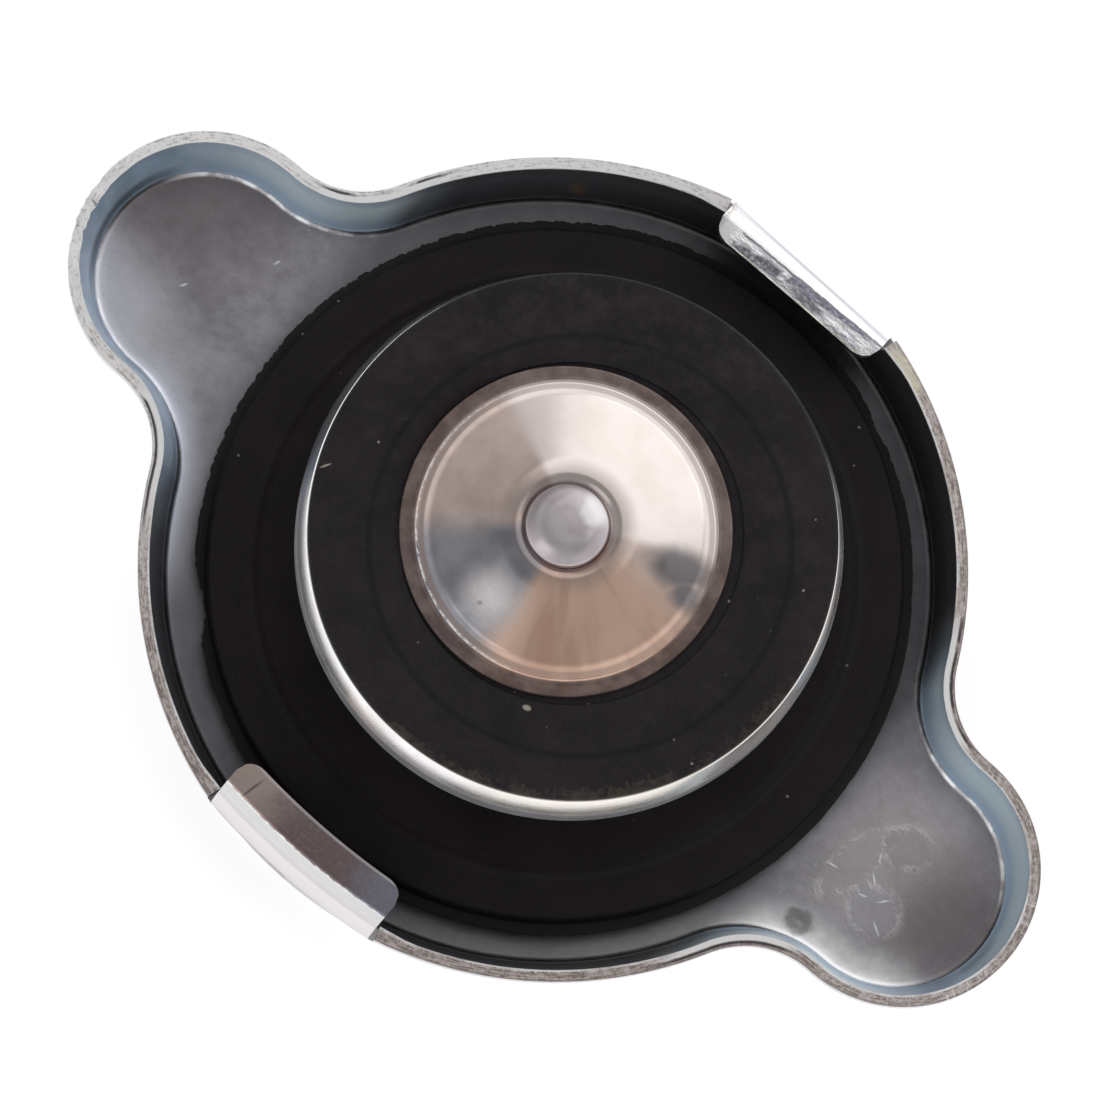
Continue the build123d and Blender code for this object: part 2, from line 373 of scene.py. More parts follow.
def thin_rim(piece):
    """Drawing thinned the sheet at the rim: its inner side moves outwards there."""
    start, thinned, step = 2.5, 0.18, 0.01
    for v in piece.data.vertices:
        x, y, z = v.co / mm
        past_relief = abs(x) - tab_width / 2 - relief_width
        if z < start or past_relief < -0.01:
            continue
        here = outwards(x, y)
        slope = Vector((outwards(x + step, y) - here, outwards(x, y + step) - here, 0)) / step
        inner = 1 - min(1, max(0, here / shell_sheet))
        rise = min(1, (z - start) / (relief_bottom - start))
        beside_tab = min(1, max(0, past_relief / 1.5)) if abs(y) > 15 else 1
        v.co += slope * thinned * inner * rise * beside_tab * mm


def chip_rim(piece):
    """The shear tore small chips out of the rim on the left side of one ear."""
    for v in piece.data.vertices:
        x, y, z = v.co / mm
        torn = bump_at(y, -2.4, 3.0) * (1 if x < -28 and z > 4.9 else 0)
        if torn > 0.05:
            rough = noise.noise(v.co / mm * 2.2) + 0.6 * noise.noise(v.co / mm * 5)
            v.co.z -= max(0, rough + 0.2) * 0.42 * torn * mm
            v.co.x += rough * 0.16 * torn * mm


def mark_outer_skin(piece):
    """Note on the rim's points which of them lie on the outer side of the sheet."""
    mesh = bmesh.from_edit_mesh(piece.data)
    skin = mesh.verts.layers.int["skin"]
    wall = [v for v in mesh.verts if abs(v.co.z / mm - relief_bottom) < 0.01]
    for v in wall:
        partner = next(e.other_vert(v) for e in v.link_edges
                       if abs(e.other_vert(v).co.z - v.co.z) < 0.01 * mm
                       and abs(e.calc_length() / mm - shell_sheet) < 0.02)
        v[skin] = int(radius_of(v.co) > radius_of(partner.co))
    bmesh.update_edit_mesh(piece.data)


def raise_rim(piece):
    """Bring the rim to its height everywhere but in the four reliefs."""
    near, far = tab_width / 2, tab_width / 2 + relief_width

    def kept(face):
        middle = face.calc_center_median() / mm
        in_relief = near < abs(middle.x) < far and abs(middle.y) > shell_radius / 2
        return abs(middle.z - relief_bottom) < 0.01 and face.normal.z > 0.9 and not in_relief

    pick(piece, "faces", kept)
    rise = (shell_rim - relief_bottom) * mm
    bpy.ops.mesh.extrude_region_move(TRANSFORM_OT_translate={"value": (0, 0, rise)})


def close_floor(piece):
    """Floor and outer face, each bridged from the wall to the pressed recess in the middle."""
    foot, recess, hole, height = 7.5, 6.2, 2.45, 1.0
    for level in (shell_sheet, 0):
        def on_edge(edge):
            return edge.is_boundary and all(abs(v.co.z / mm - level) < 0.01 for v in edge.verts)

        pick(piece, "edges", on_edge)
        count = sum(1 for e in bmesh.from_edit_mesh(piece.data).edges if e.select)
        bpy.ops.mesh.primitive_circle_add(vertices=count, radius=foot * mm,
                                          location=(0, 0, level * mm))
        bpy.ops.mesh.select_mode(type="EDGE")
        mesh = bmesh.from_edit_mesh(piece.data)
        for edge in mesh.edges:
            edge.select_set(on_edge(edge) or edge.is_wire)
        mesh.select_flush_mode()
        bmesh.update_edit_mesh(piece.data)
        bpy.ops.mesh.bridge_edge_loops()
        pick(piece, "edges", lambda e: on_edge(e) and all(
            radius_of(v.co) < foot + 0.1 for v in e.verts))
        bpy.ops.mesh.extrude_edges_move(TRANSFORM_OT_translate={"value": (0, 0, height * mm)})
        stretch(recess / foot, recess / foot, 1, (0, 0, level + height))
        bpy.ops.mesh.extrude_edges_move()
        stretch(hole / recess, hole / recess, 1, (0, 0, level + height))
    pick(piece, "edges", lambda e: e.is_boundary)
    bpy.ops.mesh.bridge_edge_loops()


# Round pieces

def neck_gasket():
    flash, bottom, top = node_top("neck_gasket")
    bore, web, web_edge, bead = 9.0, 3.1, 12.8, 16.5
    edge, land = flash - 0.7, top - 0.12
    piece = start_piece("neck_gasket_ring")
    draw(rounded([
        (bore, bottom), (flash, bottom), (flash, bottom + 0.3), (edge + 0.1, bottom + 0.32, 0.08),
        (edge, land, 0.25), (bead + 0.4, land, 0.3), (bead, top, 0.35), (bead - 0.4, land, 0.3),
        (web_edge, land, 0.2), (web_edge, web), (bore, web), (bore, bottom)], 3), "X")
    sweep(720, 360)
    tear_flash(piece, flash, edge, bottom)
    tidy(40)
    return settle(piece, 0.22, 0.08, 9.0, 9.1)


def tear_flash(piece, flash, edge, bottom):
    """The flash was torn off by hand: its edge is ragged, and one stretch of it is gone."""
    mesh = bmesh.from_edit_mesh(piece.data)
    for v in mesh.verts:
        radius = radius_of(v.co)
        if radius < edge + 0.2:
            continue
        angle = math.atan2(v.co.y, v.co.x)
        degrees = math.degrees(angle)
        tooth = noise.noise(Vector((math.cos(angle), math.sin(angle), 0.3)) * 30)
        wander = noise.noise(Vector((math.cos(angle), math.sin(angle), 5.0)) * 4)
        fine = noise.noise(Vector((math.cos(angle), math.sin(angle), 9.0)) * 95)
        coarse = 0.07 + 0.05 * math.cos(angle - math.radians(165))
        cut = coarse * (tooth + 1.3 * fine + 0.25) + 0.1 * (wander + 0.1)
        cut += 0.5 * bump_at(degrees, -134, 5) + 0.2 * bump_at(degrees, 66, 2.5)
        cut -= 0.25 * bump_at(degrees, -44.6, 0.7)
        shrink = (radius - max(0.0, cut)) / radius if cut > 0 else min(radius - cut, flash) / radius
        v.co.x *= shrink
        v.co.y *= shrink
    bmesh.update_edit_mesh(piece.data)


def settle(piece, x, y, inner, outer):
    """Lay a piece a little off the axis: all of it outside outer, none of it inside inner."""
    for v in piece.data.vertices:
        share = min(1, max(0, (radius_of(v.co) - inner) / (outer - inner)))
        v.co.x += x * share * mm
        v.co.y += y * share * mm
    return piece


def bump_at(value, middle, width):
    """A smooth bump of height 1 round the middle."""
    return math.exp(-((value - middle) / width) ** 2)


def valve_plate():
    wall, bottom, top = node_top("valve_plate")
    sheet, hole, lean, crimp = 0.5, 1.35, 0.47, 2.5
    cup = turned("valve_cup", [
        (hole, bottom), (wall, bottom, 0.3), (wall, top - crimp, 2.0), (wall - lean, top, 0.1),
        (wall - lean - sheet, top - 0.08), (wall - sheet, top - crimp, 1.6),
        (wall - sheet, bottom + sheet, 0.2), (hole, bottom + sheet), (hole, bottom)], 240)
    return settle(cup, *valve_play, 5, 8)


def pressure_seal():
    outer, bottom, top = node_top("pressure_seal")
    _, _, cup_top = node_top("valve_plate")
    bore, land, neck = 6.37, 9.12, outer - 0.49
    ring = turned("pressure_seal_ring", [
        (bore, bottom), (outer - 0.6, bottom), (outer, bottom + 0.6), (outer, cup_top - 2.6),
        (neck, cup_top + 0.02), (outer - 0.01, cup_top + 0.03, 0.15), (outer, top, 0.2),
        (land, top, 0.06), (land, top - 0.15, 0.06), (bore, top - 0.15, 0.2), (bore, bottom)], 240)
    return settle(ring, *valve_play, 9.0, 9.3)


def vacuum_disc():
    """Rolled rim, a flat land, a soft step and a domed cone with a dimple for the button."""
    edge, bottom, top = node_top("vacuum_disc")
    sheet, rim, dimple, hole = 0.35, 0.85, 2.62, 1.25
    foot = edge - rim
    upper = [(edge - 0.1, bottom + sheet, 0.1), (foot + 0.18, bottom + sheet - 0.03, 0.2),
             (foot + 0.02, bottom + sheet + 0.08, 0.1), (foot - 0.12, bottom + sheet + 0.04, 0.1),
             (foot - 0.75, bottom + sheet + 0.52, 0.9), (dimple + 0.9, top - 0.1, 3.0),
             (dimple + 0.1, top, 0.7), (dimple - 0.5, top - 0.25, 0.2)]
    lower = [(dimple - 0.8, top - 0.3 - sheet), (dimple - 0.1, top - 0.1 - sheet, 0.2),
             (foot - 0.3, bottom + 0.02, 0.3), (edge - 0.1, bottom, 0.1)]
    disc = turned("vacuum_valve_disc", [
        (hole, top - 0.3), *reversed(upper), (edge, bottom + sheet / 2, 0.15), *reversed(lower),
        (hole, top - 0.3 - sheet), (hole, top - 0.3)], 240, round_steps=5)
    return settle(disc, *disc_play, hole, 2.5)


def vacuum_stem():
    _, bottom, top = node_top("vacuum_stem")
    radius, head, clench = 1.25, 2.26, 1.8
    seat = top - 0.95
    stem = turned("vacuum_valve_stem", [
        (0, bottom), (clench, bottom, 0.2), (clench, bottom + 0.45), (radius, bottom + 0.45),
        (radius, seat), (head - 0.1, seat), (head, seat + 0.1, 0.08),
        (head - 0.05, seat + 0.42, 0.35), (1.4, top - 0.04, 1.8), (0, top)], 96, round_steps=6)
    for v in stem.data.vertices:
        if v.co.z > (seat - 0.01) * mm:
            v.co.x += disc_play[0] * 1.4 * mm
            v.co.y += disc_play[1] * 1.4 * mm
    return stem


def coil(name, node, wire, turns):
    """A compression spring: the wire's round section is turned and lifted a little at a time."""
    outer, bottom, top = node_top(node)
    outer = round(outer, 1)
    sides, per_turn, closed = 12, 48, 0.75
    low, high = bottom + wire / 4, top - wire / 4
    rise_closed = closed * wire * 1.03
    rise_open = high - low - 2 * rise_closed

    def level(turn):
        if turn < closed:
            return turn / closed * rise_closed
        if turn > turns - closed:
            return rise_closed + rise_open + (turn - turns + closed) / closed * rise_closed
        return rise_closed + (turn - closed) / (turns - 2 * closed) * rise_open

    middle = outer - wire / 2
    piece = start_piece(name)
    ring = [(middle + wire / 2 * math.cos(math.tau * i / sides),
             low + wire / 2 * math.sin(math.tau * i / sides)) for i in range(sides)]
    draw(ring + ring[:1], "X")
    bpy.ops.mesh.remove_doubles(threshold=0.001 * mm)
    bpy.ops.mesh.select_all(action="SELECT")
    for i in range(int(per_turn * turns)):
        sweep(1, 360 / per_turn)
        move(0, 0, level((i + 1) / per_turn) - level(i / per_turn))
    bpy.ops.mesh.select_all(action="SELECT")
    bpy.ops.mesh.fill_holes(sides=sides)
    for cut, below in ((bottom, True), (top, False)):
        bpy.ops.mesh.select_all(action="SELECT")
        bpy.ops.mesh.bisect(plane_co=(0, 0, cut * mm), plane_no=(0, 0, 1), use_fill=True,
                            clear_inner=below, clear_outer=not below)
    tidy(40)
    return piece


# Materials

def operator(operation, back=False):
    """One sign of a Wire; back is for a plain number on its left."""
    def use(self, *others):
        values = (*others, self) if back else (self, *others)
        return self.finish.node("ShaderNodeMath", {"operation": operation}, dict(enumerate(values)))
    return use


class Wire:
    """A value in a material that takes part in sums as a number does."""

    __add__, __radd__ = operator("ADD"), operator("ADD", back=True)
    __sub__, __rsub__ = operator("SUBTRACT"), operator("SUBTRACT", back=True)
    __mul__, __rmul__ = operator("MULTIPLY"), operator("MULTIPLY", back=True)
    __truediv__, __abs__ = operator("DIVIDE"), operator("ABSOLUTE")
    __gt__, __lt__ = operator("GREATER_THAN"), operator("LESS_THAN")
    most, least, atan2 = operator("MAXIMUM"), operator("MINIMUM"), operator("ARCTAN2")

    def __init__(self, finish, socket):
        self.finish = finish
        self.socket = socket


class Finish:
    """One material: a Principled shader, and the nodes that feed it, in millimetres on the cap."""

    def __init__(self, name, **constants):
        self.material = bpy.data.materials.new(name)
        self.material.use_nodes = True
        self.tree = self.material.node_tree
        self.shader = self.tree.nodes["Principled BSDF"]
        for socket, value in constants.items():
            self.shader.inputs[socket.replace("_", " ")].default_value = value
        here = self.node("ShaderNodeTexCoord", output="Object")
        self.where = self.node("ShaderNodeVectorMath", {"operation": "SCALE"},
                               {0: here, "Scale": 1 / mm})
        self.x, self.y, self.z = self.parts(self.where)
        self.radius = self.length(self.vector(self.x, self.y))

    def node(self, kind, settings=None, values=None, output=0):
        """Add any node: its settings first, then the numbers or links of its sockets."""
        made = self.tree.nodes.new(kind)
        for name, value in (settings or {}).items():
            if name == "stops":
                self.set_stops(made.color_ramp, value)
            else:
                setattr(made, name, value)
        for socket, value in (values or {}).items():
            if isinstance(value, Wire):
                self.tree.links.new(value.socket, made.inputs[socket])
            else:
                made.inputs[socket].default_value = value
        return Wire(self, made.outputs[output])

    @staticmethod
    def set_stops(ramp, stops):
        while len(ramp.elements) < len(stops):
            ramp.elements.new(0.5)
        for element, (place, colour) in zip(ramp.elements, stops):
            element.position = place
            element.color = (*colour, 1)

    def set(self, socket, value):
        self.tree.links.new(value.socket, self.shader.inputs[socket])

    def parts(self, vector):
        split = self.node("ShaderNodeSeparateXYZ", values={0: vector})
        return [Wire(self, split.socket.node.outputs[axis]) for axis in "XYZ"]

    def vector(self, x, y, z=0.0):
        return self.node("ShaderNodeCombineXYZ", values={0: x, 1: y, 2: z})

    def length(self, vector):
        return self.node("ShaderNodeVectorMath", {"operation": "LENGTH"}, {0: vector}, "Value")

    def noise(self, where, scale, detail=3.0, rough=0.5, distortion=0.0):
        return self.node("ShaderNodeTexNoise", values={
            "Vector": where, "Scale": scale, "Detail": detail, "Roughness": rough,
            "Distortion": distortion})

    def between(self, value, start, end, low=0.0, high=1.0):
        """A soft step: low before start, high after end."""
        return self.node("ShaderNodeMapRange", {"interpolation_type": "SMOOTHSTEP"},
                         {"Value": value, "From Min": start, "From Max": end,
                          "To Min": low, "To Max": high})

    def fall(self, value, start, end):
        return self.between(value, start, end, 1.0, 0.0)

    def band(self, value, start, end, soft):
        return self.between(value, start - soft, start + soft) * self.fall(
            value, end - soft, end + soft)

    def facing(self, x, y, distance, degrees, half, soft):
        """1 where a place lies in a direction from a middle, within half that many degrees."""
        a = math.radians(degrees)
        cosine = (x * math.cos(a) + y * math.sin(a)) / distance
        return self.between(cosine, math.cos(math.radians(min(180, half + soft))),
                            math.cos(math.radians(max(0, half - soft))))

    def towards(self, degrees, half, soft):
        """1 on one side of the cap."""
        return self.facing(self.x, self.y, self.radius + 0.001, degrees, half, soft)

    def round_ear(self, end, degrees, half, soft):
        """1 on one side of the ear at one end, seen from the middle of its arc."""
        x = self.x - end * ear_x
        distance = self.length(self.vector(x, self.y)) + 0.01
        return (self.x * end > 0.0) * self.facing(x, self.y, distance, degrees, half, soft)

    def specks(self, scale, size, soft):
        """Small round specks, scattered all over."""
        away = self.node("ShaderNodeTexVoronoi", values={"Vector": self.where, "Scale": scale})
        return self.fall(away, size, soft)

    def spot(self, middle, size, turn=0.0, soft=0.4, ragged=0.0, scale=1.0):
        """1 inside an ellipsoid at a place on the cap, with a soft and perhaps ragged edge."""
        away = self.offset(middle, size, turn)
        if ragged:
            away = away + (self.noise(self.where, scale, 4.0) - 0.5) * ragged
        return self.fall(away, 1 - soft, 1 + soft)

    def offset(self, middle, size, turn=0.0):
        """How far a place is from the middle of an ellipsoid, whose skin is at 1."""
        local = self.node("ShaderNodeMapping", {"vector_type": "TEXTURE"},
                          {"Vector": self.where, "Location": middle,
                           "Rotation": (0, 0, math.radians(turn)), "Scale": size})
        return self.length(local)

    def mix(self, share, first, second):
        """Mix two colours."""
        def colour(value):
            return value if isinstance(value, Wire) else (*value, 1)
        return self.node("ShaderNodeMix", {"data_type": "RGBA"},
                         {0: share, 6: colour(first), 7: colour(second)}, output=2)

    def paint(self, share, tint):
        """Lay a colour over what has been painted so far."""
        self.colour = self.mix(share, self.colour, tint)

    def bump(self, height, distance, before=None):
        values = {"Height": height, "Distance": distance * mm, "Strength": 1.0}
        if before is not None:
            values["Normal"] = before
        return self.node("ShaderNodeBump", values=values)

    def done(self, roughness, normal):
        """Link the paint and the surface to the shader; the last step of a material."""
        self.set("Base Color", self.colour)
        self.set("Roughness", roughness)
        self.set("Normal", normal)
        return self


def give(piece, finish):
    piece.data.materials.clear()
    piece.data.materials.append(finish.material)


def zinc_shell():
    """Blue-passivated zinc, darker on the floor and bare on the sheared rim, with painted
    highlights on the bends and painted light and shade over the floor, walls and outer face.
    """
    f = Finish("zinc_shell", Metallic=1.0)
    cloud = f.noise(f.where, 0.22, 3.0, 0.55, 0.3)
    f.mottle = f.noise(f.where, 1.1, 5.0, 0.62)
    f.grain = f.noise(f.where, 6.0, 3.0, 0.6)
    f.ragged = (f.noise(f.where, 2.5, 3.0) - 0.5) * 0.16
    f.across = f.node("ShaderNodeAttribute", {"attribute_name": "across"}, output="Fac")
    tone = f.between(cloud * 0.5 + f.mottle * 0.38 + f.grain * 0.12, 0.35, 0.65)
    f.colour = f.mix(tone, (0.24, 0.23, 0.25), (0.365, 0.352, 0.38))
    in_ear = f.between(abs(f.x), 17.2, 20.0)
    tab = (abs(f.x) < tab_width / 2 + 0.05) * (abs(f.y) > 17.0) * f.between(f.z, 4.6, 5.2)
    rim = f.between(f.z, 5.18, 5.24) * (1 - tab)
    wall = f.between(f.z, 0.93, 1.01) * f.fall(f.across, 0.02, 0.12) * (1 - tab)
    ring_wall = wall * (1 - in_ear)

    paint_floor(f)
    paint_ears(f, in_ear, wall)
    # Painted shade: the wall round the groove between the ears is painted near-black, blackest on
    # one side.
    shaded_side = f.towards(45, 68, 14)
    f.paint(ring_wall * 0.9, f.mix(shaded_side, (0.055, 0.057, 0.065), (0.016, 0.015, 0.016)))
    # Painted light: the outer face is painted lighter than the inside of the same zinc.
    outer_face = f.between(f.across, 0.9, 0.98)
    f.paint(outer_face, f.mix(tone, (0.60, 0.60, 0.62), (0.72, 0.72, 0.74)))
    bright, scored = paint_rim(f, rim)
    crinkled = paint_upper_tab(f, tab * (f.y > 0.0))
    bend_highlight = paint_lower_tab(f, tab * (f.y < 0.0))
    ridge = paint_scuffs(f)

    # The blue walls, the painted highlights and the painted shade round the groove are made less
    # metallic.
    blue_wall = wall * in_ear * (1 - rim) * 0.85
    f.set("Metallic", 1.0 - blue_wall.most(bright).most(ring_wall * 0.9).most(bend_highlight * 0.8))
    waves = f.bump(cloud, 0.05, f.bump(f.grain, 0.006))
    folds = f.bump(crinkled, 0.16, f.bump(scored, 0.03, waves))
    return f.done(0.27 + f.mottle * 0.12 + rim * 0.12 + ring_wall * 0.3 - tab * 0.1,
                  f.bump(ridge, 0.014, folds))


def wall_gap(f):
    """How far in from the inner wall a place on the floor is, in millimetres."""
    from_ear = ear_radius - shell_sheet - f.length(f.vector(abs(f.x) - ear_x, f.y))
    from_ring = shell_radius - shell_sheet - f.radius
    out_x, out_y = abs(f.x) - root_x, abs(f.y) - root_y
    from_root = f.length(f.vector(out_x, out_y)) - (ear_root + shell_sheet)
    in_neck = ((out_x * root_y - out_y * root_x) > 0.0) * (
        (out_x * root_y - out_y * (root_x - ear_x)) < 0.0)
    return from_ring.most(from_ear) * (1 - in_neck) + from_root * in_neck


def ring_shade(f):
    """Painted shade in the groove round the gasket: black on the right, lighter on the left."""
    greys = [(0.0, 0.12), (0.058, 0.27), (0.094, 0.19), (0.13, 0.13), (0.172, 0.09), (0.30, 0.045),
             (0.35, 0.05), (0.425, 0.10), (0.50, 0.18), (0.55, 0.05), (0.58, 0.009), (0.70, 0.007),
             (0.806, 0.009), (0.85, 0.06), (0.91, 0.065), (0.955, 0.12)]
    stops = [(place, (grey, grey * 0.99, grey * 1.07)) for place, grey in greys]
    return f.node("ShaderNodeValToRGB", {"stops": stops}, {0: f.y.atan2(f.x) / math.tau + 0.5})


def paint_floor(f):
    """Darker and paler parts of the floor, the paler ones painted light, a painted glow of light
    along its edges, specks, and painted shade in the groove.
    """
    gap = wall_gap(f)
    flat_floor = f.fall(f.z, 0.78, 0.84)
    dark_ear = f.spot((-28.9, 3.2, 0.8), (4.8, 4.0, 6), 20, 0.75)
    # Painted light: pale glows where the floor meets the wall; the pale_side, lit_ear and low_glow
    # marks are painted light too.
    left_glow = f.fall(gap, 0.4, 2.8) * f.towards(199, 20, 10) * f.between(f.x, -26.0, -23.0)
    ear_glow = f.fall(gap, 0.3, 2.6) * f.round_ear(-1, -112, 45, 25)
    pale_side = f.spot((-27.6, -4.4, 0.8), (4.4, 2.6, 6), -15, 0.8)
    yellow = f.spot((-24.5, -3.4, 0.8), (1.3, 0.9, 2), 30, 0.6, 0.8, 1.2)
    lit_ear = f.spot((24.4, 0.3, 0.8), (3.6, 4.6, 5), 0, 0.7)
    brown_side = f.spot((28.6, -0.2, 0.8), (3.0, 3.6, 5), 0, 0.7)
    low_glow = f.fall(gap + (f.mottle - 0.5) * 1.8, 0.4, 3.2) * f.round_ear(1, -88, 40, 20)
    specks = f.specks(1.1, 0.05, 0.09) * f.between(f.mottle, 0.52, 0.56)
    speck = f.mix(f.between(f.grain, 0.45, 0.5), (0.05, 0.045, 0.05), (0.75, 0.75, 0.78))
    on_ring = f.band(f.radius, 18.5, 21.85, 0.35) * f.fall(abs(f.x), 18.6, 21.2)
    # The ring of the groove round the gasket gets painted shade from ring_shade.
    for share, tint in ((dark_ear * 0.7, (0.16, 0.132, 0.138)),
                        (left_glow.most(ear_glow * 0.7) * 0.85, (0.74, 0.78, 0.89)),
                        (pale_side * 0.75, (0.64, 0.64, 0.71)),
                        (yellow * 0.2, (0.33, 0.30, 0.23)),
                        (lit_ear * 0.6, (0.52, 0.49, 0.50)),
                        (brown_side * 0.7, (0.155, 0.13, 0.137)),
                        (low_glow * 0.9, (1.0, 1.0, 1.0)),
                        (specks * flat_floor * 0.5, speck),
                        (on_ring * flat_floor * (1 - left_glow), ring_shade(f))):
        f.paint(share, tint)


def paint_ears(f, in_ear, wall):
    """A painted highlight where an ear's floor turns up, blue passivation on the wall above it with
    paler sides painted as light, and painted shade at the wall's foot.
    """
    inside = in_ear * f.fall(f.across, 0.4, 0.6)
    patchy = f.between(f.noise(f.vector(f.x, f.y), 1.1, 4.0), 0.42, 0.58)
    lit = f.round_ear(-1, 96, 45, 18).most(f.round_ear(-1, -112, 40, 20) * 0.6).most(
        f.round_ear(1, 76, 45, 20)).most(f.round_ear(1, -82, 34, 16))
    # Painted highlight along the toe of the wall, stronger on the lit sides and broken into
    # patches.
    toe = f.fall(f.z, 0.90, 1.04) * f.between(f.z, 0.803, 0.84) * inside
    f.paint(toe * (0.1 + lit * (0.25 + patchy * 0.65)), (0.96, 0.97, 1.0))

    streaky = f.noise(f.vector(f.x, f.y, f.z * 0.5), 0.6, 3.0)
    blue = f.mix(f.between(streaky, 0.35, 0.65), (0.40, 0.53, 0.67), (0.53, 0.68, 0.84))
    # Painted light: the wall is paler on some sides and part way up.
    pale = f.mix(f.band(f.z, 2.2, 4.6, 0.7), (0.60, 0.78, 0.97), (0.76, 0.92, 1.0))
    pale_side = f.round_ear(-1, 75, 45, 30).most(f.round_ear(1, 60, 60, 30)).most(
        f.round_ear(1, -95, 25, 20))
    brown_rub = f.round_ear(1, -5, 8, 8) * f.band(f.z, 1.6, 2.8, 0.6)
    blue = f.mix(brown_rub * 0.4, f.mix(pale_side, blue, pale), (0.20, 0.17, 0.19))
    f.paint(wall * in_ear * 0.95, blue)
    # Painted shade along the foot of the wall, darkest on one side of one ear.
    foot = f.band(f.z, 1.0, 2.1, 0.4) * f.between(f.z, 0.92, 1.02) * inside
    f.paint(foot * (0.02 + f.round_ear(-1, 186, 28, 22) * 0.75), (0.09, 0.105, 0.135))


def rim_streaks(f):
    """Streaks across the sheared edge, streaks along it, and broad patches, evenly spaced."""
    past_root = abs(f.x) - ear_x
    on_ear = past_root > 0.0
    along = f.y.atan2(f.x) * shell_radius * (1 - on_ear) + (
        f.y.atan2(past_root) * (ear_radius + 0.2) * on_ear)
    line = f.vector(along, f.radius * 0.2, f.x * 0.05)
    return (f.noise(line, 7.0, 2.0, 0.5),
            f.noise(f.vector(along * 0.35, f.across * 1.9, f.x * 0.05), 3.4, 5.0, 0.68),
            f.noise(line, 0.35, 3.0, 0.6))


def paint_rim(f, rim):
    """The sheared edge, with painted highlights and painted shade on it; gives back where the
    highlights are and how it is scored.
    """
    streak, lined, patch = rim_streaks(f)
    lined = lined * 0.65 + f.noise(f.where, 4.5, 3.0, 0.7) * 0.35
    root = f.band(abs(f.x), 18.3, 23.3, 0.8) * (abs(f.y) > 4.0)
    # Painted light: the rim is lighter on one side.
    light_side = f.towards(150, 50, 40)
    ticks = f.between(streak, 0.55, 0.64) * f.between(patch, 0.46, 0.56)
    # A painted highlight along the inner edge, and a dark line of painted shade at the necks.
    inner_line = f.fall(f.across + (streak - 0.5) * 0.3, 0.12, 0.24)
    dark_line = root * f.band(f.across, 0.56, 0.80, 0.05) * f.between(patch, 0.32, 0.44)
    torn = f.spot((-31.2, -2.6, 5.4), (2.6, 3.8, 1.5), 0, 0.5)
    chips = f.noise(f.where, 1.9, 3.0, 0.6)
    # Painted glints on the striations and the torn chips, and painted highlights at the necks and
    # on the light side.
    bright = ticks * f.between(abs(f.x), 26.5, 29.0) * 0.6
    for other in (inner_line * f.between(patch, 0.35, 0.6, 0.35, 0.95),
                  torn * f.between(chips, 0.45, 0.55),
                  root * f.band(f.across, 0.0, 0.5, 0.08) * 0.95,
                  light_side * f.between(lined, 0.38, 0.52) * 0.95):
        bright = bright.most(other)
    bright = bright * rim * (1 - dark_line)

    yellow_chip = f.spot((7.4, 20.3, 5.4), (1.6, 0.9, 1), -20, 0.5, 1.0, 2.0)
    sheared = f.mix(f.between(lined, 0.40, 0.60), (0.27, 0.22, 0.205), (0.68, 0.62, 0.59))
    for share, tint in ((light_side * 0.5, (0.84, 0.83, 0.825)),
                        (f.between(f.across, 0.82, 0.94) * 0.6, (0.30, 0.25, 0.235)),
                        (torn * f.fall(chips, 0.36, 0.44) * 0.7, (0.16, 0.15, 0.14)),
                        (dark_line * 0.9, (0.06, 0.055, 0.06)),
                        (yellow_chip * 0.8, (0.85, 0.80, 0.60))):
        sheared = f.mix(share, sheared, tint)
    f.paint(rim, sheared)
    # The painted highlights.
    f.paint(bright, (0.93, 0.925, 0.92))
    return bright, rim * (streak * 0.4 + lined + torn * chips * 4)


